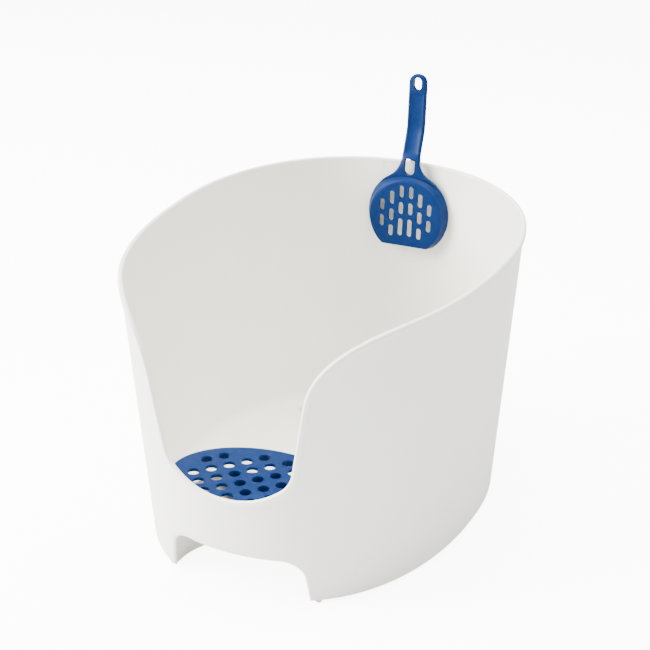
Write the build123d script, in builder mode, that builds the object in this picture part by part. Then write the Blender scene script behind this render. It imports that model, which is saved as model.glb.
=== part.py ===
from build123d import *
from math import cos, hypot, pi, radians, sin, tan
import os

os.makedirs("parts", exist_ok=True)

# An open, high-walled litter tub with a low entry at the front (-Y), a perforated
# plate on the raised step inside the entry, a scoop hung on the back rim and four
# small feet. Millimetres, +Z up, the floor at Z 0, symmetric about X 0.

# ---- tub: plan and height ----
rim_height = 340.0  # highest point of the rim, at the back
rim_dip = 2.0  # the rim is this much lower at the widest line
base_half_width = 188.5  # plan of the outer wall, carried down to Z 0
base_front_reach = 276.3  # from the widest line to the front wall
base_back_reach = 216.2  # from the widest line to the back wall
side_flare = 2.9  # degrees that the walls lean out
front_flare = 7.9
back_flare = 4.9
front_power = 2.24  # roundness of the plan: 2 is an ellipse, more is squarer
back_power = 2.12
oval_points = 40

# ---- tub: walls ----
wall = 3.0
lip_out = 2.6  # the rim bead stands out from the wall
lip_height = 7.0
pad_height = 3.0  # the tub's underside is this far off the floor
floor_thickness = 3.0

# ---- entry in the front wall: half of its outline, which is mirrored ----
entry_height = 134.0  # top of the sill above the floor
sill_half = 33.5
sill_radius = 100.0
toe_half = 72.0
toe_rise = 27.0
toe_radius = 32.0
shoulder_half = 100.5
shoulder_drop = 6.0  # below the back rim
shoulder_radius = 90.0

# ---- step behind the entry, hollow underneath, and the arch in the skirt ----
step_height = 91.0
step_half_width = 87.0
step_front = 246.0  # its widest line, ahead of the widest line of the tub
step_bulge = 88.0  # how far its round back runs behind that
arch_half_width = 77.0  # at its top; its sides lean out below
arch_flare = 5.5
arch_height = 58.0
arch_radius = 26.0

# ---- perforated plate that lies on the step ----
plate_half_width = 106.0
plate_front = 212.0
plate_bulge = 76.0
plate_gap = 1.5  # to the front wall
plate_thickness = 3.5
skirt_height = 14.0
skirt_wall = 2.5
hole_diameter = 12.8
hole_column = 14.5  # staggered: every second column starts a row lower
hole_row = 15.4
hole_shift = -4.7  # the middle column is this far off the plate's middle
hole_front_row = 250.6  # ahead of the widest line
hole_edge = 18.0  # a hole's centre stays this far inside the plate's edge
blind_holes = {(-2, 3), (0, 3), (2, 3), (-1, 2), (1, 2), (0, 1), (2, 1), (1, 4)}  # (column, row)
cup_radius = 8.2  # round a blind hole, down to the step

# ---- scoop ----
bowl_radius = 55.0
bowl_drop = 65.0  # bowl centre below the rim
bowl_depth = 12.0
pan_radius = 48.0
pan_drop = 69.0
blade_drop = 106.0  # straight front edge below the rim
blade_radius = 6.0
sheet = 2.5
scoop_gap = 8.4  # back of the scoop off the wall, at its middle
scoop_turn = 1.1  # degrees that it hangs askew, and how far it hangs to one side
scoop_shift = -3.3
handle_width = 24.0
handle_thickness = 7.0
handle_reach = 113.0  # above the rim
handle_set_back = 12.0
handle_rise = 44.0
handle_bend = 40.0
neck_radius = 28.0
window_width = 14.5
window_top = 6.5
window_drop = 13.5
slot_width = 6.6
slot_gap = 5.5
slot_pitch = 12.8
slot_columns = [(-27.0, (16.0, 16.0, 23.0)), (-35.0, (18.0, 16.0, 15.0)), (-47.0, (15.5, 15.5))]
hang_width = 11.0
hang_length = 16.0
hang_web = 4.5

# ---- hook behind the scoop's neck, and its seat inside the back wall ----
hook_width = 14.0
hook_clearance = 0.6
hook_thickness = 3.2
hook_length = 16.0
hook_rise = 8.0
seat_width = 86.0
seat_height = 15.0
seat_depth = 1.0

# ---- feet ----
foot_radius = 3.6
peg_radius = 2.0
peg_length = 5.0
peg_clearance = 0.05
boss_radius = 5.5
boss_height = 9.0
front_foot_x = 90.0
front_foot_y = 246.0  # ahead of the widest line
rear_foot_x = 108.0
rear_foot_y = 140.0  # behind the widest line

# ---- worked out ----
lean = radians(back_flare)
floor_top = pad_height + floor_thickness


def side_reach(z):
    return base_half_width + z * tan(radians(side_flare))


def front_reach(z):
    return base_front_reach + z * tan(radians(front_flare))


def back_reach(z):
    return base_back_reach + z * tan(lean)


scoop_back = back_reach(rim_height) - wall - scoop_gap
handle_back = handle_set_back + handle_thickness / 2
handle_end = scoop_back + handle_reach * sin(lean) + handle_back * cos(lean)
front_end = front_reach(entry_height) + lip_out
widest_y = (front_end - handle_end) / 2  # puts the middle of the whole object at Y 0
far = 2 * base_front_reach
sky = rim_height + 60.0


def oval(z, inset):
    """Points round the plan of the wall at height z, drawn in by inset."""
    points = []
    for step in range(oval_points):
        turn = 2 * pi * step / oval_points
        s, c = sin(turn), cos(turn)
        power = front_power if c > 0 else back_power
        reach = (front_reach(z) if c > 0 else back_reach(z)) - inset
        x = (side_reach(z) - inset) * abs(s) ** (2 / power) * (1 if s > 0 else -1)
        y = -reach * abs(c) ** (2 / power) * (1 if c > 0 else -1)
        points.append((x, widest_y + y))
    return points


def oval_body(low, high, inset):
    """The flared solid between two heights, drawn in from the outer wall by inset."""
    with BuildPart() as body:
        for z in (low, high):
            with BuildSketch(Plane.XY.offset(z)):
                with BuildLine():
                    Spline(oval(z, inset), periodic=True)
                make_face()
        loft(ruled=True)
    return body.part


def round_back(low, high, half, bulge, front):
    """A block with a round back and straight sides that run out past the front wall."""
    middle = widest_y - front
    with BuildPart() as block:
        with BuildSketch(Plane.XY.offset(low)):
            with BuildLine():
                EllipticalCenterArc((0, middle), half, bulge, 0, arc_size=180)
                Polyline((-half, middle), (-half, middle - far), (half, middle - far), (half, middle))
            make_face()
        extrude(amount=high - low)
    return block.part


def above_rim(drop):
    """All the space above the rim line, taken drop millimetres further down."""
    end = side_reach(rim_height) + lip_out
    side = rim_height - rim_dip
    half = [
        (end, side),
        (shoulder_half, rim_height - shoulder_drop),
        (toe_half, entry_height + toe_rise),
        (sill_half, entry_height),
    ]
    corners = half + [(-x, z) for x, z in reversed(half)]
    radii = [shoulder_radius, toe_radius, sill_radius]
    back_y = widest_y + back_reach(rim_height)
    with BuildPart() as space:
        with BuildSketch(Plane.XZ.offset(-widest_y)):
            with BuildLine():
                FilletPolyline(*corners, radius=radii + radii[::-1])
                Polyline((-end, side), (-far, side), (-far, sky), (far, sky), (far, side), (end, side))
            make_face()
            if drop:
                offset(amount=drop)
        extrude(amount=far)
        with BuildSketch(Plane.YZ):
            with BuildLine():
                Polyline((widest_y, side), (back_y, rim_height), (far, rim_height), (far, sky))
                Polyline((far, sky), (widest_y, sky), (widest_y, side))
            make_face()
            if drop:
                offset(amount=drop)
        extrude(amount=far, both=True)
    return space.part


foot_places = {
    "front_left": (-front_foot_x, widest_y - front_foot_y),
    "front_right": (front_foot_x, widest_y - front_foot_y),
    "rear_left": (-rear_foot_x, widest_y + rear_foot_y),
    "rear_right": (rear_foot_x, widest_y + rear_foot_y),
}

# ---- tub ----
with BuildPart() as cavity:
    add(oval_body(floor_top, sky, wall))
    add(round_back(0, step_height, step_half_width, step_bulge, step_front), mode=Mode.SUBTRACT)
    with Locations(*[Location((x, y, floor_top)) for x, y in foot_places.values()]):
        Cylinder(
            boss_radius,
            boss_height - floor_thickness,
            align=(Align.CENTER, Align.CENTER, Align.MIN),
            mode=Mode.SUBTRACT,
        )

with BuildPart() as recess:
    add(oval_body(-pad_height, step_height, wall))
    add(
        round_back(
            -pad_height, step_height - wall, step_half_width - wall, step_bulge - wall, step_front
        ),
        mode=Mode.INTERSECT,
    )

with BuildPart() as lip:
    add(oval_body(entry_height / 2, sky, -lip_out))
    add(oval_body(entry_height / 2, sky, wall), mode=Mode.SUBTRACT)
    add(above_rim(lip_height), mode=Mode.INTERSECT)

seat_top = rim_height - lip_height / 2
with BuildPart() as seat:
    add(oval_body(seat_top - seat_height, seat_top, wall - seat_depth))
    with Locations((0, widest_y + back_reach(seat_top) - wall, seat_top)):
        Box(
            seat_width,
            4 * seat_height,
            seat_height,
            align=(Align.CENTER, Align.CENTER, Align.MAX),
            mode=Mode.INTERSECT,
        )

with BuildPart() as tub:
    add(oval_body(pad_height, sky, 0))
    add(lip.part)
    add(cavity.part, mode=Mode.SUBTRACT)
    add(above_rim(0), mode=Mode.SUBTRACT)
    add(recess.part, mode=Mode.SUBTRACT)
    arch_foot = arch_half_width + (arch_height + pad_height) * tan(radians(arch_flare))
    with BuildSketch(Plane.XZ.offset(step_front - widest_y)):
        with BuildLine():
            FilletPolyline(
                (-arch_foot, -pad_height),
                (-arch_half_width, arch_height),
                (arch_half_width, arch_height),
                (arch_foot, -pad_height),
                radius=arch_radius,
            )
            Line((arch_foot, -pad_height), (-arch_foot, -pad_height))
        make_face()
    extrude(amount=far, mode=Mode.SUBTRACT)
    with Locations(*[Location((x, y, pad_height)) for x, y in foot_places.values()]):
        Cylinder(
            peg_radius + peg_clearance,
            peg_length + 0.5,
            align=(Align.CENTER, Align.CENTER, Align.MIN),
            mode=Mode.SUBTRACT,
        )
    add(seat.part, mode=Mode.SUBTRACT)
tub.part.label = "tub"
export_step(tub.part, "parts/tub.step")

# ---- plate on the step ----
plate_top = step_height + skirt_height + plate_thickness
plate_inset = wall + plate_gap
front_at_plate = front_reach(step_height) - plate_inset
side_at_plate = side_reach(step_height) - plate_inset


def holds_hole(x, ahead):
    """True where a hole's centre is far enough inside the plate's edge."""
    half, bulge = plate_half_width - hole_edge, plate_bulge - hole_edge
    behind = max(plate_front - ahead, 0)
    inside_back = hypot(x / half, behind / bulge) < 1
    roundness = (1 - (abs(x) / side_at_plate) ** front_power) ** (1 / front_power)
    return inside_back and ahead < (front_at_plate - hole_edge) * roundness


hole_places = []
cup_places = []
for column in range(-8, 9):
    for row in range(12):
        ahead = hole_front_row - hole_row * row
        x = hole_shift + hole_column * column
        if (column + row) % 2 == 1 and abs(x) < plate_half_width and holds_hole(x, ahead):
            hole_places.append((x, widest_y - ahead))
            if (column, row) in blind_holes:
                cup_places.append((x, widest_y - ahead, step_height))

with BuildPart() as under_plate:
    low, high = step_height, plate_top - plate_thickness
    half, bulge = plate_half_width - skirt_wall, plate_bulge - skirt_wall
    add(oval_body(low - 1, plate_top, plate_inset + skirt_wall))
    add(round_back(low - 1, high, half, bulge, plate_front), mode=Mode.INTERSECT)
    with Locations(*cup_places):
        Cylinder(
            cup_radius,
            skirt_height,
            align=(Align.CENTER, Align.CENTER, Align.MIN),
            mode=Mode.SUBTRACT,
        )

with BuildPart() as step_grate:
    add(oval_body(step_height, plate_top, plate_inset))
    add(
        round_back(step_height, plate_top, plate_half_width, plate_bulge, plate_front),
        mode=Mode.INTERSECT,
    )
    add(under_plate.part, mode=Mode.SUBTRACT)
    with BuildSketch(Plane.XY.offset(plate_top)):
        with Locations(*hole_places):
            Circle(hole_diameter / 2)
    extrude(amount=-(plate_thickness + skirt_height / 2), mode=Mode.SUBTRACT)
step_grate.part.label = "step_grate"
export_step(step_grate.part, "parts/step_grate.step")

# ---- scoop ----
# The scoop lies in a plane that leans back with the wall, the front of that plane
# facing the tub's inside. Across the plane is X, up it is the way to the handle.
hang = Vector(0, widest_y + scoop_back, rim_height)
face = Plane(origin=hang, x_dir=(1, 0, 0), z_dir=(0, -cos(lean), sin(lean)))
flank = Plane(origin=hang, x_dir=(0, -cos(lean), sin(lean)), z_dir=(-1, 0, 0))

with BuildPart() as outline:
    with BuildSketch(face) as silhouette:
        with Locations((0, -bowl_drop)):
            Circle(bowl_radius)
            Rectangle(handle_width, bowl_drop + handle_reach, align=(Align.CENTER, Align.MIN))
        fillet(silhouette.vertices().filter_by_position(Axis.Y, -bowl_radius, 0), neck_radius)
        fillet(silhouette.vertices().group_by(Axis.Y)[-1], handle_width / 2 - 0.5)
        with Locations((0, -blade_drop)):
            Rectangle(far, far, align=(Align.CENTER, Align.MAX), mode=Mode.SUBTRACT)
        fillet(silhouette.vertices().group_by(Axis.Y)[0], blade_radius)
    extrude(amount=far / 4, both=True)

with BuildPart() as pan_inside:
    with BuildSketch(face.offset(-0.5)):
        with Locations((0, -bowl_drop)):
            Circle(bowl_radius - sheet)
    with BuildSketch(face.offset(bowl_depth - sheet)):
        with Locations((0, -pan_drop)):
            Circle(pan_radius - sheet)
    loft()

with BuildPart() as scoop:
    with BuildSketch(flank):
        with BuildLine():
            FilletPolyline(
                (handle_thickness / 2, -bowl_drop / 2),
                (handle_thickness / 2, -2),
                (-handle_set_back, handle_rise),
                (-handle_set_back, handle_reach),
                radius=handle_bend,
            )
        trace(line_width=handle_thickness)
    extrude(amount=bowl_radius, both=True)
    with BuildSketch(face):
        with Locations((0, -bowl_drop)):
            Circle(bowl_radius)
    with BuildSketch(face.offset(bowl_depth)):
        with Locations((0, -pan_drop)):
            Circle(pan_radius)
    loft()
    add(pan_inside.part, mode=Mode.SUBTRACT)
    add(outline.part, mode=Mode.INTERSECT)
    with BuildSketch(face):
        with Locations((0, window_top)):
            Rectangle(window_width, window_top + window_drop, align=(Align.CENTER, Align.MAX))
        with Locations((0, handle_reach - hang_web - hang_length / 2)):
            SlotOverall(hang_length, hang_width, rotation=90)
        for column, (top, lengths) in enumerate(slot_columns):
            x = slot_pitch * (column + 0.5)
            for length in lengths:
                with Locations((x, top - length / 2), (-x, top - length / 2)):
                    SlotOverall(length, slot_width, rotation=90)
                top -= length + slot_gap
    extrude(amount=far / 4, both=True, mode=Mode.SUBTRACT)
    lip_y = widest_y + back_reach(rim_height) + lip_out + hook_clearance
    root_y = widest_y + scoop_back + handle_thickness / 3
    with BuildSketch(Plane.YZ):
        with BuildLine():
            Polyline(
                (root_y, rim_height + hook_rise),
                (lip_y, rim_height + hook_clearance),
                (lip_y, rim_height - hook_length),
                (lip_y + hook_thickness, rim_height - hook_length),
                (lip_y + hook_thickness, rim_height + hook_thickness),
                (root_y, rim_height + hook_rise + 1.3 * hook_thickness),
                close=True,
            )
        make_face()
    extrude(amount=hook_width / 2, both=True)
hung_scoop = scoop.part.rotate(Axis(hang, face.z_dir), scoop_turn).translate((scoop_shift, 0, 0))
hung_scoop.label = "scoop"
export_step(hung_scoop, "parts/scoop.step")

# ---- feet ----
for name, (x, y) in foot_places.items():
    with BuildPart() as foot_pad:
        with Locations((x, y, 0)):
            Cylinder(foot_radius, pad_height, align=(Align.CENTER, Align.CENTER, Align.MIN))
        fillet(foot_pad.edges().group_by(Axis.Z)[0], foot_radius / 4)
        with Locations((x, y, pad_height)):
            Cylinder(peg_radius, peg_length, align=(Align.CENTER, Align.CENTER, Align.MIN))
    foot_pad.part.label = "foot_pad_" + name
    export_step(foot_pad.part, "parts/foot_pad_" + name + ".step")
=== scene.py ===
from math import cos, hypot, pi, radians, sin, sqrt, tan

import bmesh
import bpy
import numpy as np
from mathutils import Matrix, Vector


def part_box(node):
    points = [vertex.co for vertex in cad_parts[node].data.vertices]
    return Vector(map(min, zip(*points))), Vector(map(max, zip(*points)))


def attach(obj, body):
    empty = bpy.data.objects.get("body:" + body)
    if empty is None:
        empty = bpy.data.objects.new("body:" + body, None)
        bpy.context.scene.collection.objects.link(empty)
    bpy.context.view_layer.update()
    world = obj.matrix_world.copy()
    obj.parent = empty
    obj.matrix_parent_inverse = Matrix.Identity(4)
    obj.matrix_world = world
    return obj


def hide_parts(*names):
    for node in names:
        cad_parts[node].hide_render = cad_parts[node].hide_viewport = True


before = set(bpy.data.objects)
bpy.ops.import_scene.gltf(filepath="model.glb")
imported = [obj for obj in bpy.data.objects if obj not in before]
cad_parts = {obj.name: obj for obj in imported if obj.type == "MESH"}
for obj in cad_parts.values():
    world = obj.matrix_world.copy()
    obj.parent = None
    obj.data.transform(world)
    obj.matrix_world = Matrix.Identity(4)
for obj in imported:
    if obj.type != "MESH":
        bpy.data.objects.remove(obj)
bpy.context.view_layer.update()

# An open, high-walled litter tub: the moulded tub on four small feet, a perforated
# plate on the step inside the entry, and a scoop hung over the back rim. Shapes are
# worked out in millimetres and placed in metres.
MM = 0.001

# ---- the tub's plan and rim ----
rim_height, rim_dip = 340.0, 2.0
base_half_width, base_front, base_back = 188.5, 276.3, 216.2
side_flare, front_flare, back_flare = radians(2.9), radians(7.9), radians(4.9)
front_power, back_power = 2.24, 2.12
wall, floor_sheet = 3.0, 3.0
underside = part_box("tub")[0][2] / MM
floor_top = underside + floor_sheet
rear_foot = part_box("foot_pad_rear_left")
rear_foot_behind = 140.0  # from the widest line
widest_y = (rear_foot[0][1] + rear_foot[1][1]) / 2 / MM - rear_foot_behind
plan_steps = 400
edge_low, corner_low = 3.0, 12.0  # the bottom's outer edge and inner corner
cap_flat, floor_flat = 6.0, 5.0  # how far in on the flat a cap's rim lies

# half of the rim's outline seen from the front, and the radii of its bends
entry_height = 134.0
rim_corners = [(0, entry_height), (33.5, entry_height), (72, 161), (100.5, 334), (209, 338)]
rim_bends = [100, 32, 90]

# ---- bosses round the feet's pegs ----
foot_places = [(90.0, 246.0), (108.0, -rear_foot_behind)]  # (sideways, ahead of the widest line)
boss_radius, boss_tip_radius, boss_rise, boss_depth, boss_round = 5.5, 5.2, 6.0, 7.5, 1.2

# ---- step, arch ----
step_height, step_half, step_bulge, step_ahead = 91.0, 87.0, 88.0, 246.0
step_round = 4.0
step_foot = [(-1.5, 6.0), (0.4, 4.2), (2.0, 1.6), (5.0, 0.0)]  # (above the floor, grown by)
recess_half, recess_bulge, recess_round = step_half - wall, step_bulge - wall, 3.0
arch_half, arch_height, arch_bend, arch_flare = 77.0, 58.0, 26.0, radians(5.5)
arch_round_over, arch_round_steps, arch_round_step = 5.0, 7, radians(12.5)

# ---- the scoop's seat inside the back wall ----
seat_below_rim, seat_width, seat_height, seat_depth = 3.5, 86.0, 15.0, 1.0
seat_cutter = 4.0  # thicker than the seat is deep

# ---- plate ----
plate_top, plate_half, plate_bulge, plate_ahead = 108.5, 106.0, 76.0, 212.0
plate_inset, plate_sheet, plate_skirt, plate_corner, plate_round = 4.5, 3.5, 2.5, 8.0, 1.6
hole_radius, hole_column, hole_row, hole_edge = 6.4, 14.5, 15.4, 18.0
hole_shift, hole_first_row = -4.7, 250.6
blind_holes = {(-2, 3), (0, 3), (2, 3), (-1, 2), (1, 2), (0, 1), (2, 1), (1, 4)}  # (column, row)
cup_radius = 8.2

# ---- scoop ----
lean, scoop_gap = back_flare, 8.4
scoop_back = base_back + rim_height * tan(lean) - wall - scoop_gap
bowl_radius, bowl_drop = 55.0, 65.0
pan_radius, pan_drop, pan_rise = 48.0, 69.0, 12.0
blade_drop, blade_bend = 106.0, 6.0
handle_half, handle_thick, handle_reach, neck_bend = 12.0, 7.0, 113.0, 28.0
groove_depth = 2.4
scoop_sheet = 2.5
scoop_turn, scoop_shift = radians(1.1), -3.3
# each column of slots from the middle out: (height of its top, the slots' lengths going down)
slot_columns = [(-27.0, (16.0, 16.0, 23.0)), (-35.0, (18.0, 16.0, 15.0)), (-47.0, (15.5, 15.5))]
slot_width, slot_column, slot_gap = 6.6, 12.8, 5.5
hook_half, hook_sheet, hook_gap, hook_drop, hook_round = 7.0, 3.2, 0.6, 16.0, 0.7


# ------------------------------------------------------------------ materials
def colour(code):
    """A linear RGBA colour from an sRGB hex code such as F0F0EE."""
    parts = [int(code[i : i + 2], 16) / 255 for i in (0, 2, 4)]
    return [p / 12.92 if p <= 0.04045 else ((p + 0.055) / 1.055) ** 2.4 for p in parts] + [1.0]


def add_node(tree, kind, values=(), links=(), **settings):
    """A node of that kind, with socket values, links from (node, output) and its own settings."""
    made = tree.nodes.new(kind)
    for name, value in settings.items():
        setattr(made, name, value)
    for name, value in values:
        made.inputs[name].default_value = value
    for name, (source, output) in links:
        tree.links.new(source.outputs[output], made.inputs[name])
    return made


def moulded(name, light, dark, roughness, grain_mm, bump, ior=1.49, mottle_mm=60.0, **shader):
    """Injection-moulded plastic: a fine spark-eroded grain over a colour that hardly varies."""
    material = bpy.data.materials.new(name)
    material.use_nodes = True
    tree = material.node_tree
    tree.nodes.clear()
    place = add_node(tree, "ShaderNodeTexCoord")
    mottle = add_node(
        tree, "ShaderNodeTexNoise",
        [("Scale", 1 / (mottle_mm * MM)), ("Detail", 2.0), ("Roughness", 0.5)],
        [("Vector", (place, "Object"))],
    )
    tint = add_node(
        tree, "ShaderNodeMix", [(6, colour(light)), (7, colour(dark))],
        [(0, (mottle, "Fac"))], data_type="RGBA",
    )
    grain = add_node(
        tree, "ShaderNodeTexNoise",
        [("Scale", 1 / (grain_mm * MM)), ("Detail", 3.0), ("Roughness", 0.6)],
        [("Vector", (place, "Object"))],
    )
    dull = add_node(
        tree, "ShaderNodeMapRange",
        [("To Min", roughness - 0.05), ("To Max", roughness + 0.05)], [("Value", (grain, "Fac"))],
    )
    raised = add_node(
        tree, "ShaderNodeBump", [("Strength", bump), ("Distance", 0.1 * MM)],
        [("Height", (grain, "Fac"))],
    )
    surface = add_node(
        tree, "ShaderNodeBsdfPrincipled",
        [("IOR", ior)] + [(key.replace("_", " "), value) for key, value in shader.items()],
        [("Base Color", (tint, 2)), ("Roughness", (dull, "Result")), ("Normal", (raised, "Normal"))],
    )
    add_node(tree, "ShaderNodeOutputMaterial", links=[("Surface", (surface, "BSDF"))])
    return material


# White polypropylene from a textured mould: warm white, a broad soft sheen, no mirror.
# The real grain is about 0.3 mm, too fine to show, so it is drawn 1.2 mm wide.
white_plastic = moulded("white_moulded_polypropylene", "F0EFE6", "EDECE3", 0.46, 1.2, 0.12)
# The same plastic coloured through in blue, with a slightly smoother face and little glare.
blue_plastic = moulded(
    "blue_moulded_polypropylene", "082A5C", "072554", 0.42, 1.0, 0.15, Specular_IOR_Level=0.08
)
scoop_plastic = moulded(
    "blue_polypropylene_scoop", "062351", "051F49", 0.40, 1.0, 0.12, Specular_IOR_Level=0.08
)
# Soft thermoplastic rubber in the same white as the tub: matt, with a dusty face.
foot_rubber = moulded("white_thermoplastic_rubber", "E4E4E0", "D6D6D1", 0.72, 0.8, 0.3, ior=1.52)


# --------------------------------------------------------------- body making
def ring_edges(body, ring):
    """The edges that join the corners of a ring in turn."""
    return [body.edges.get(pair) for pair in zip(ring, ring[1:] + ring[:1])]


def skinned(rows):
    """A closed body over rows of places, each row a ring, the first and last ring capped."""
    body = bmesh.new()
    ring = bmesh.ops.create_circle(body, segments=len(rows[0]), radius=1.0)["verts"]
    ends = [ring]
    for corner, place in zip(ring, rows[0]):
        corner.co = Vector(place) * MM
    for row in rows[1:]:
        edges = ring_edges(body, ring)
        grown = set(bmesh.ops.extrude_edge_only(body, edges=edges)["geom"])
        ring = [
            next(e.other_vert(corner) for e in corner.link_edges if e.other_vert(corner) in grown)
            for corner in ring
        ]
        for corner, place in zip(ring, row):
            corner.co = Vector(place) * MM
    ends.append(ring)
    for ring in ends:
        bmesh.ops.contextual_create(body, geom=ring_edges(body, ring))
    bmesh.ops.recalc_face_normals(body, faces=body.faces)
    return body


def piece_of(name, *bodies):
    """One object that holds those bodies."""
    mesh = bpy.data.meshes.new(name)
    whole = bmesh.new()
    for body in bodies:
        body.to_mesh(mesh)
        whole.from_mesh(mesh)
        body.free()
    whole.to_mesh(mesh)
    whole.free()
    piece = bpy.data.objects.new(name, mesh)
    bpy.context.collection.objects.link(piece)
    return piece


def combine(piece, other, how):
    """Joins other to piece, or cuts it away, and uses other up."""
    step = piece.modifiers.new(how, "BOOLEAN")
    step.operation, step.solver, step.object = how, "EXACT", other
    bpy.context.view_layer.update()
    graph = bpy.context.evaluated_depsgraph_get()
    mesh = bpy.data.meshes.new_from_object(piece.evaluated_get(graph), depsgraph=graph)
    piece.modifiers.remove(step)
    piece.data = mesh
    bpy.data.objects.remove(other)


def rounded(body, edges, size, steps):
    """Rounds those edges of a body."""
    bmesh.ops.bevel(
        body, geom=edges, offset=size * MM, offset_type="OFFSET", segments=steps, profile=0.5,
        affect="EDGES", material=-1,
    )


def finish_piece(piece, body, material, slot_name, *nodes, weld=0.002, sharp=32.0):
    """Welds the mesh, shades it and hands the piece to the frame."""
    shape = bmesh.new()
    shape.from_mesh(piece.data)
    bmesh.ops.remove_doubles(shape, verts=shape.verts, dist=weld * MM)
    bmesh.ops.dissolve_degenerate(shape, edges=shape.edges, dist=weld * MM)
    shape.to_mesh(piece.data)
    shape.free()
    piece.data.shade_smooth()
    piece.data.set_sharp_from_angle(angle=radians(sharp))
    piece.data.materials.clear()
    piece.data.materials.append(material)
    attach(piece, body)
    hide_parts(*nodes)


def bends(corners, radii, steps=10):
    """Places along a run of straight lines whose corners are arcs of those radii."""
    places = [Vector(corners[0])]
    for before, here, after, radius in zip(corners, corners[1:], corners[2:], radii):
        here = Vector(here)
        back = (Vector(before) - here).normalized()
        ahead = (Vector(after) - here).normalized()
        half = back.angle(ahead) / 2
        middle = here + (back + ahead).normalized() * radius / sin(half)
        start = here + back * radius / tan(half) - middle
        end = here + ahead * radius / tan(half) - middle
        places += [
            middle + start.lerp(end, k / steps).normalized() * radius for k in range(steps + 1)
        ]
    return places + [Vector(corners[-1])]


def quarter(radius, steps=4):
    """(drawn in, down) for an edge rounded by that radius, from the side up to the top."""
    turns = [pi / 2 * k / steps for k in range(steps + 1)]
    return [(radius * (1 - cos(t)), radius * (1 - sin(t))) for t in turns]


# ------------------------------------------------------------------ the tub
def wall_place(turn, z, inset=0.0):
    """A place on the outer wall, turn from the front and at height z, drawn in by inset."""
    s, c = sin(turn), cos(turn)
    if c > 0:
        power, reach = front_power, base_front + z * tan(front_flare) - inset
    else:
        power, reach = back_power, base_back + z * tan(back_flare) - inset
    side = base_half_width + z * tan(side_flare) - inset
    x = side * abs(s) ** (2 / power) * (1 if s > 0 else -1)
    y = -reach * abs(c) ** (2 / power) * (1 if c > 0 else -1)
    return Vector((x, widest_y + y, z))


def front_line(x, z, inset):
    """Y of the front wall at x and z, drawn in by inset."""
    side = base_half_width + z * tan(side_flare) - inset
    reach = base_front + z * tan(front_flare) - inset
    return widest_y - reach * (1 - (abs(x) / side) ** front_power) ** (1 / front_power)


rim_line = bends(rim_corners, rim_bends)
rim_x = [place.x for place in rim_line]
rim_z = [place.y for place in rim_line]


def rim_place(turn, tries=12):
    """The rim line at that turn from the front, found by going between height and place."""
    z = rim_height
    for _ in range(tries):
        place = wall_place(turn, z)
        if cos(turn) > 0:
            z = float(np.interp(abs(place.x), rim_x, rim_z))
        else:
            back = base_back + rim_height * tan(back_flare)
            z = rim_height - rim_dip * (1 - (place.y - widest_y) / back)
    return wall_place(turn, z)


def rim_axes(turn, step=0.004):
    """The rim place, the way out from the wall, and the way up across the rim line."""
    along = (rim_place(turn + step) - rim_place(turn - step)).normalized()
    place = rim_place(turn)
    flat = wall_place(turn + step, place.z) - wall_place(turn - step, place.z)
    out = Vector((flat.y, -flat.x, 0)).normalized()
    if out.dot(place - Vector((0, widest_y, place.z))) < 0:
        out = -out
    up = along.cross(out)
    return place, out, up if up.z > 0 else -up


# The rim's bead in section: (out from the wall, up from the rim line).
bead = [
    (0.0, -9.0), (0.3, -7.7), (1.5, -7.0), (2.3, -6.3), (2.6, -5.2), (2.6, -2.4), (2.2, -1.0),
    (1.2, -0.2), (0.0, 0.0), (-1.4, -0.1), (-2.4, -0.6), (-2.9, -1.6), (-3.0, -3.0), (-3.0, -9.0),
]
bead_out = max(out for out, _ in bead)
wall_rows = [k / 12 for k in range(1, 12)]  # shares of the way up the plain wall
turns = [2 * pi * (k + 0.5) / plan_steps for k in range(plan_steps)]
axes = [rim_axes(turn) for turn in turns]
beads = [[place + out * o + up * u for place, out, up in axes] for o, u in bead]


def between(low, high):
    """Rows of wall from one ring up to another, both left out."""
    return [[a.lerp(b, part) for a, b in zip(low, high)] for part in wall_rows]


# From the underside up the outside, over the bead, and down the inside to the floor. The
# two values of a quarter change places here: it runs from the flat up to the wall.
outer = [[wall_place(t, underside, edge_low + cap_flat) for t in turns]]
outer += [
    [wall_place(t, underside + up, inset) for t in turns] for up, inset in quarter(edge_low)
]
inner = [
    [wall_place(t, floor_top + up, wall + inset) for t in turns]
    for up, inset in quarter(corner_low, 6)
]
inner = inner[::-1] + [[wall_place(t, floor_top, wall + corner_low + floor_flat) for t in turns]]
tub_rows = outer + between(outer[-1], beads[0]) + beads
tub_rows += between(inner[0], beads[-1])[::-1] + inner
tub = piece_of("litter_tub", skinned(tub_rows))


def bay(z, half, bulge, ahead, inset, corner=0.0, steps=44, corner_steps=5):
    """A ring at height z: an elliptical back, and a front that follows the tub's front wall."""
    arc = [pi * k / steps for k in range(steps + 1)]
    ring = [(half * cos(a), widest_y - ahead + bulge * sin(a), z) for a in arc]
    reach = half - corner
    front = [(-reach * cos(a), front_line(reach * cos(a), z, inset), z) for a in arc]
    if corner:
        end = front_line(half, z, inset)
        side = Vector((half, end + corner, z))
        tip = Vector((half, end, z))
        start = Vector(front[-1])
        parts = [k / corner_steps for k in range(1, corner_steps + 1)]
        bend = [start.lerp(tip, part).lerp(tip.lerp(side, part), part) for part in parts]
        front = [(-p.x, p.y, z) for p in bend[::-1]] + front + bend
    return ring + front


# The step: a block with a rounded top edge, flaring out where it meets the floor, as
# (height, grown by).
block = [(floor_top + up, grow) for up, grow in step_foot]
block += [(step_height - down, -inset) for inset, down in quarter(step_round)]
block += [(step_height, -cap_flat)]
combine(tub, piece_of("block", skinned(
    [bay(z, step_half + grow, step_bulge + grow, step_ahead, wall / 2) for z, grow in block]
)), "UNION")


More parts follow.
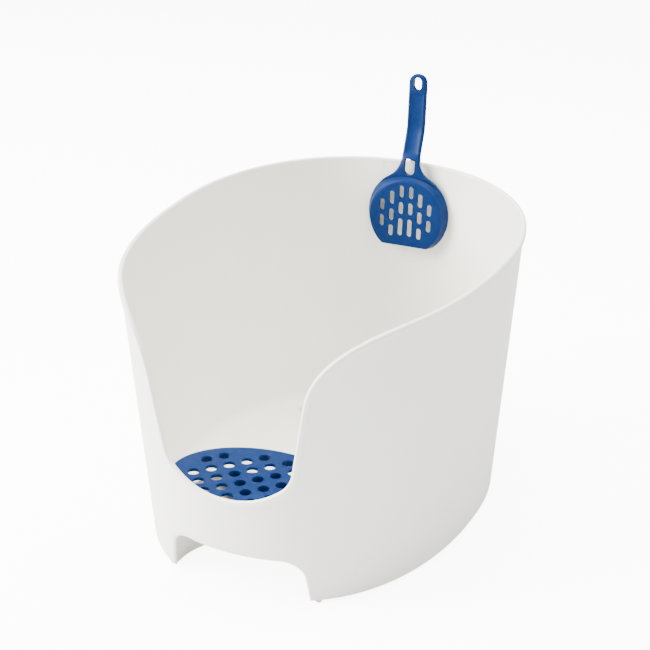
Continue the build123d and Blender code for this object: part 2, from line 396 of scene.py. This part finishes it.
def boss(x, y):
    """A peg's boss, standing through the floor at x and y, with its top edge rounded."""
    body = bmesh.new()
    bmesh.ops.create_cone(
        body, cap_ends=True, segments=32, depth=boss_depth * MM,
        radius1=boss_radius * MM, radius2=boss_tip_radius * MM,
    )
    rounded(body, [e for e in body.edges if min(v.co.z for v in e.verts) > 0], boss_round, 3)
    middle = Vector((x, y, floor_top + boss_rise - boss_depth / 2))
    bmesh.ops.translate(body, verts=body.verts, vec=middle * MM)
    return body


for foot_x, foot_ahead in foot_places:
    for side in (-1, 1):
        combine(tub, piece_of("boss", boss(side * foot_x, widest_y - foot_ahead)), "UNION")

# The hollow under the step, from below the tub up to the step's own sheet, as (height,
# grown by), and the arch through the front wall into it.
hollow_foot, hollow_top = -5.0, step_height - wall
hollow = [(hollow_foot, 0.0), (hollow_top - recess_round, 0.0)]
hollow += [(hollow_top - down, -inset) for inset, down in quarter(recess_round)[1:]]
combine(tub, piece_of("hollow", skinned(
    [bay(z, recess_half + g, recess_bulge + g, step_ahead, wall - g) for z, g in hollow]
)), "DIFFERENCE")


def arch(grow, inset=None, y=None, low=-10.0, steps=12, crown_steps=16):
    """The arch's outline, grown by grow, on the front wall drawn in by inset, or at one y."""
    half, top = arch_half + grow, arch_height + grow
    foot = half + (top - low) * tan(arch_flare)
    corners = [(-foot, low), (-half, top), (half, top), (foot, low)]
    shape = bends(corners, [arch_bend + grow] * 2, steps)
    crown = steps + 2  # where the second bend starts, past the first place and the first bend
    left, right = shape[crown - 1], shape[crown]
    shape[crown:crown] = [left.lerp(right, k / crown_steps) for k in range(1, crown_steps)]
    return [(p.x, front_line(p.x, p.y, inset) if y is None else y, p.y) for p in shape]


# The arch's cutter runs from the hollow to well ahead of the wall, and opens out at the
# wall's outer face, so that the edge it leaves is rounded over. Its last two rings, outside
# the wall, cut nothing and only have to clear it.
arch_rows = [arch(0, y=widest_y - step_ahead), arch(0, inset=arch_round_over + 2)]
for part in range(arch_round_steps):
    turn = arch_round_step * part
    opened = arch_round_over * (1 - cos(turn))
    arch_rows.append(arch(opened, inset=arch_round_over * (1 - sin(turn))))
arch_rows += [arch(opened + 4.0, inset=-1.0), arch(opened + 4.0, y=widest_y - base_front - 60)]
combine(tub, piece_of("arch", skinned(arch_rows)), "DIFFERENCE")

# The scoop's seat: a shallow patch inside the back wall, just under the rim.
seat_top = rim_height - seat_below_rim
seat = bmesh.new()
bmesh.ops.create_grid(seat, x_segments=16, y_segments=2, size=0.5)
for corner in seat.verts:
    x = corner.co.x * seat_width
    z = seat_top - seat_height / 2 + corner.co.y * seat_height
    side, reach = base_half_width + z * tan(side_flare), base_back + z * tan(back_flare)
    roundness = (1 - (abs(x) / (side - wall)) ** back_power) ** (1 / back_power)
    y = (reach - wall + seat_depth) * roundness
    corner.co = Vector((x, widest_y + y, z)) * MM
grown = bmesh.ops.extrude_face_region(seat, geom=seat.faces[:])["geom"]
front_corners = [part for part in grown if isinstance(part, bmesh.types.BMVert)]
bmesh.ops.translate(seat, verts=front_corners, vec=(0, -seat_cutter * MM, 0))
bmesh.ops.recalc_face_normals(seat, faces=seat.faces)
combine(tub, piece_of("seat", seat), "DIFFERENCE")
finish_piece(tub, "tub", white_plastic, "tub_shell", "tub")

# ------------------------------------------------------- the plate on the step
# Its section at the edge, as (height, inset): under the sheet, down inside the skirt, round
# the skirt's foot, up outside it, and over the rounded edge.
section = [(plate_top - plate_sheet, 7.0), (plate_top - plate_sheet, plate_skirt + 0.6)]
section += [(plate_top - plate_sheet - 0.6, plate_skirt), (step_height + 0.5, plate_skirt)]
section += [(step_height, plate_skirt - 0.5), (step_height, 0.5), (step_height + 0.5, 0.0)]
section += [(plate_top - down, inset) for inset, down in quarter(plate_round)]
section += [(plate_top, 4.5)]
plate = piece_of("step_plate", skinned([
    bay(z, plate_half - inset, plate_bulge - inset, plate_ahead, plate_inset + inset, plate_corner)
    for z, inset in section
]))

# A hole's cutter as (wider by, above the plate's top), with a softened mouth, and the cup
# round a blind hole as (radius, height).
bore = [(-0.6, -10.5), (0, -9.9), (0, -0.9), (0.12, -0.45), (0.5, 0), (1.6, 1)]
cup = [(cup_radius - 0.5, step_height), (cup_radius, step_height + 0.5), (cup_radius, plate_top - 3.0)]
holes, cups = [], []


def drum(x, y, section, steps=28):
    """A round body at x and y, from its section of (radius, height)."""
    around = [2 * pi * k / steps for k in range(steps)]
    return skinned([[(x + r * cos(a), y + r * sin(a), z) for a in around] for r, z in section])


def holds_hole(x, ahead):
    """True where a hole's centre is far enough inside the plate's edge."""
    half, bulge = plate_half - hole_edge, plate_bulge - hole_edge
    if hypot(x / half, max(plate_ahead - ahead, 0) / bulge) >= 1:
        return False
    return widest_y - ahead > front_line(x, step_height, plate_inset + hole_edge)


for column in range(-8, 9):
    for row in range(12):
        x, ahead = hole_shift + hole_column * column, hole_first_row - hole_row * row
        if (column + row) % 2 == 1 and holds_hole(x, ahead):
            y = widest_y - ahead
            holes.append(drum(x, y, [(hole_radius + d, plate_top + z) for d, z in bore]))
            if (column, row) in blind_holes:
                cups.append(drum(x, y, cup))
combine(plate, piece_of("cups", *cups), "UNION")
combine(plate, piece_of("holes", *holes), "DIFFERENCE")
finish_piece(plate, "step_grate", blue_plastic, "blue_plastic", "step_grate")

# ------------------------------------------------------------------ the scoop
hang = Vector((0, widest_y + scoop_back, rim_height))
scoop_up = Vector((0, sin(lean), cos(lean)))
scoop_out = Vector((0, -cos(lean), sin(lean)))


def on_scoop(x, up, out):
    """A place given across the scoop, up its plane from the rim, and out towards the tub."""
    across = x * cos(scoop_turn) - up * sin(scoop_turn) + scoop_shift
    up = x * sin(scoop_turn) + up * cos(scoop_turn)
    return hang + Vector((across, 0, 0)) + scoop_up * up + scoop_out * out


def disc(radius, drop, out, steps=128):
    """A circle in the scoop's plane, its middle below the rim by drop."""
    return [
        on_scoop(radius * cos(2 * pi * k / steps), radius * sin(2 * pi * k / steps) - drop, out)
        for k in range(steps)
    ]


def pan(sheet, bend, low, edge):
    """The pan as a solid, drawn in by sheet, from low up, its front edge rounded by bend."""
    rise = pan_rise - sheet

    def slant(out):
        """The radius and drop of the pan's slanting side, that far out."""
        share = out / pan_rise
        radius = bowl_radius + (pan_radius - bowl_radius) * share - sheet
        return radius, bowl_drop + (pan_drop - bowl_drop) * share

    rows = [disc(bowl_radius - sheet - edge, bowl_drop, low)]
    if edge:
        rows.append(disc(bowl_radius - sheet - edge * 0.3, bowl_drop, low + edge * 0.3))
    foot, steps = low + edge, 5
    for part in range(steps + 1):
        out = foot + (rise - bend - foot) * part / steps
        rows.append(disc(*slant(out), out))
    top, drop = slant(rise - bend)
    for inset, down in quarter(bend, 5)[1:]:
        rows.append(disc(top - inset * 1.3, drop + inset * 0.3, rise - down))
    rows.append(disc(top - bend * 1.3 - 3, pan_drop, rise))
    return skinned(rows)


def ramp(value):
    """The value, held between 0 and 1."""
    return min(max(value, 0), 1)


end_radius = handle_half - 0.5
end_start = handle_reach - end_radius  # where the handle's round end starts


def half_width(up):
    """Half the width of the handle and neck at that height up the scoop."""
    # the middle of the arc between bowl and handle, and the height where it meets the bowl
    middle = Vector((handle_half + neck_bend, 0))
    middle.y = sqrt((bowl_radius + neck_bend) ** 2 - middle.x**2) - bowl_drop
    touch = -bowl_drop + (middle.y + bowl_drop) * bowl_radius / (bowl_radius + neck_bend)
    if up < touch:
        return sqrt(bowl_radius**2 - (up + bowl_drop) ** 2) - 0.15 * (touch - up)
    if up < middle.y:
        return middle.x - sqrt(neck_bend**2 - (up - middle.y) ** 2)
    if up > end_start:
        return handle_half - end_radius + sqrt(max(end_radius**2 - (up - end_start) ** 2, 0))
    return handle_half


# The handle's middle line from the side, as (out towards the tub, up from the rim).
handle_line = bends([(3.5, -33), (3.5, -2), (-12, 44), (-12, 114)], [40, 40], 12)
line_up = [place.y for place in handle_line]
line_out = [place.x for place in handle_line]
# Heights of the handle's sections: even steps, then closer and closer round its end.
stations = [-32.5 + 2.25 * k for k in range(60)]
stations = [up for up in stations if up < end_start - 0.5]
stations += [end_start + end_radius * sin(pi / 2 * k / 12) for k in range(13)]


def handle_ring(up, steps=48):
    """The handle in section: a shallow channel down its front, and rounded edges."""
    half = half_width(up)
    out = float(np.interp(up, line_up, line_out))
    slope = float(np.interp(up + 1, line_up, line_out) - np.interp(up - 1, line_up, line_out)) / 2
    length = hypot(1, slope)
    past = max(up - (handle_reach - 3), 0) / 3.05
    thick = handle_thick / 2 * sqrt(1 - past**2)
    sunk = ramp((-15 - up) / 17)  # the neck thins out into the pan
    groove = groove_depth * ramp((up - 10) / 5) * ramp((92 - up) / 6)
    ring = []
    for k in range(steps):
        s, c = sin(2 * pi * (k + 0.5) / steps), cos(2 * pi * (k + 0.5) / steps)
        edge = 3.4 if s > 0 else 4.5
        edge += 6 * max(half / handle_half - 1, 0)
        x = half * abs(c) ** (2 / edge) * (1 if c > 0 else -1)
        h = thick * abs(s) ** (2 / edge) * (1 if s > 0 else -1)
        if s > 0:
            h -= 1.5 * thick * sunk + groove * max(1 - (x / (0.78 * half)) ** 2, 0) ** 0.6
        ring.append(on_scoop(x, up - h * slope / length, out + h / length))
    return ring


scoop = piece_of("litter_scoop", skinned([handle_ring(up) for up in stations]))
combine(scoop, piece_of("pan", pan(sheet=0.0, bend=3.0, low=0.0, edge=0.8)), "UNION")
inside = pan(sheet=scoop_sheet, bend=2.0, low=-6.0, edge=0.0)
combine(scoop, piece_of("pan_inside", inside), "DIFFERENCE")


def through(outline):
    """A cutter through the scoop with that outline, across and up its plane."""
    return skinned([[on_scoop(x, up, out) for x, up in outline] for out in (-60.0, 60.0)])


def rounded_slot(x, top, length, width, bottom=None, upper=None):
    """A slot's outline: full round ends, or corners of the radii given."""
    low, high = bottom or width / 2 - 0.01, upper or width / 2 - 0.01
    w, base = width / 2, top - length
    corners = [(x, top), (x + w, top), (x + w, base), (x - w, base), (x - w, top), (x, top)]
    return bends(corners, [high, low, low, high], 6)[:-1]


# The blade: everything past its straight edge goes, round corners and all.
fillet_x = sqrt((bowl_radius - blade_bend) ** 2 - (blade_drop - bowl_drop - blade_bend) ** 2)
blade = [
    (fillet_x + blade_bend * sin(radians(a)), -blade_drop + blade_bend * (1 - cos(radians(a))))
    for a in range(0, 45, 4)
]
blade.append((blade[-1][0] + 40, blade[-1][1] + 40))
blade.append((130, -170))
combine(scoop, piece_of("past_blade", through(
    [(-x, up) for x, up in blade[::-1]] + blade
)), "DIFFERENCE")

# The neck's window, the hanging hole, and the slots in the pan.
cuts = [rounded_slot(0, top=6.5, length=20.0, width=14.5, bottom=6.0, upper=1.2)]
cuts.append(rounded_slot(0, top=handle_reach - 4.5, length=16.0, width=11.0))
for column, (top, lengths) in enumerate(slot_columns):
    for length in lengths:
        for side in (-1, 1):
            x = side * slot_column * (column + 0.5)
            cuts.append(rounded_slot(x, top, length, slot_width))
        top -= length + slot_gap
combine(scoop, piece_of("cuts", *[through(outline) for outline in cuts]), "DIFFERENCE")

# The hook behind the neck, over the rim's bead: its outline from the side, as (y, z).
lip_y = widest_y + base_back + rim_height * tan(back_flare) + bead_out + hook_gap
lip_foot = rim_height - hook_drop
root_y = hang.y + handle_thick / 3
hook_side = [
    (root_y, rim_height + 8.0), (lip_y, rim_height + hook_gap), (lip_y, lip_foot),
    (lip_y + hook_sheet, lip_foot), (lip_y + hook_sheet, rim_height + 3.2),
    (root_y, rim_height + 12.16),
]
hook = skinned([[
    on_scoop(x, *[(Vector((0, y, z)) - hang).dot(way) for way in (scoop_up, scoop_out)])
    for y, z in hook_side
] for x in (-hook_half, hook_half)])
rounded(hook, hook.edges[:], hook_round, 2)
combine(scoop, piece_of("hook", hook), "UNION")
finish_piece(scoop, "scoop", scoop_plastic, "scoop_plastic", "scoop")

# ------------------------------------------------------------------- the feet
for name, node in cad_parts.items():
    if name.startswith("foot_pad"):
        node.data.materials.clear()
        node.data.materials.append(foot_rubber)

# ------------------------------------------------- camera, floor and lighting
azimuth, elevation, roll = radians(23.25), radians(26.166), radians(1.152)
aim, distance = Vector((0, widest_y, 170)), 1905.4
back = Vector((sin(azimuth) * cos(elevation), -cos(azimuth) * cos(elevation), sin(elevation)))
level = Vector((cos(azimuth), sin(azimuth), 0))
right = level * cos(roll) + back.cross(level) * sin(roll)
lens = bpy.data.cameras.new("camera")
lens.sensor_width, lens.lens = 36.0, 88.12
lens.shift_x, lens.shift_y = -0.01815, 0.04952
camera = bpy.data.objects.new("camera", lens)
bpy.context.collection.objects.link(camera)
turned = Matrix((right, back.cross(right), back)).transposed().to_4x4()
camera.matrix_world = Matrix.Translation((aim + back * distance) * MM) @ turned
bpy.context.scene.camera = camera

ground = bmesh.new()
bmesh.ops.create_grid(ground, x_segments=1, y_segments=1, size=30.0)
floor = piece_of("studio_floor", ground)
paper = moulded("white_studio_paper", "FDFDFD", "FBFBFB", 0.9, 2.0, 0.05)
floor.data.materials.append(paper)

sky = bpy.data.worlds.new("studio")
bpy.context.scene.world = sky
sky.use_nodes = True

# The paper and the air behind it are lit white for the lens alone, as in a light tent, so
# the background stays clean while the object keeps its soft shading.
daylight, paper_white, air_white = 0.9, 8.0, 12.0


def seen_by_lens(tree, unseen, seen):
    """A strength that is higher for what the lens sees directly."""
    path = add_node(tree, "ShaderNodeLightPath")
    return add_node(
        tree, "ShaderNodeMapRange", [("To Min", unseen), ("To Max", seen)],
        [("Value", (path, "Is Camera Ray"))],
    )


glow = seen_by_lens(paper.node_tree, 0.0, paper_white)
lit = paper.node_tree.nodes["Principled BSDF"].inputs
lit["Emission Color"].default_value = (1.0, 1.0, 1.0, 1.0)
paper.node_tree.links.new(glow.outputs["Result"], lit["Emission Strength"])
air = sky.node_tree.nodes["Background"].inputs
air["Color"].default_value = (1.0, 1.0, 1.0, 1.0)
sky_glow = seen_by_lens(sky.node_tree, daylight, air_white)
sky.node_tree.links.new(sky_glow.outputs["Result"], air["Strength"])


def soft_box(name, place, size, watts):
    """A square area light that looks at the tub's middle."""
    lamp = bpy.data.lights.new(name, "AREA")
    lamp.shape, lamp.size, lamp.energy = "SQUARE", size, watts
    stand = bpy.data.objects.new(name, lamp)
    bpy.context.collection.objects.link(stand)
    away = Vector(place) - Vector((0, 0, 0.15))
    stand.matrix_world = Matrix.Translation(place) @ away.to_track_quat("Z", "Y").to_matrix().to_4x4()


soft_box("key_left", (-2.4, -1.3, 1.7), 1.8, 420.0)
soft_box("top", (0.2, 0.3, 2.6), 2.2, 190.0)
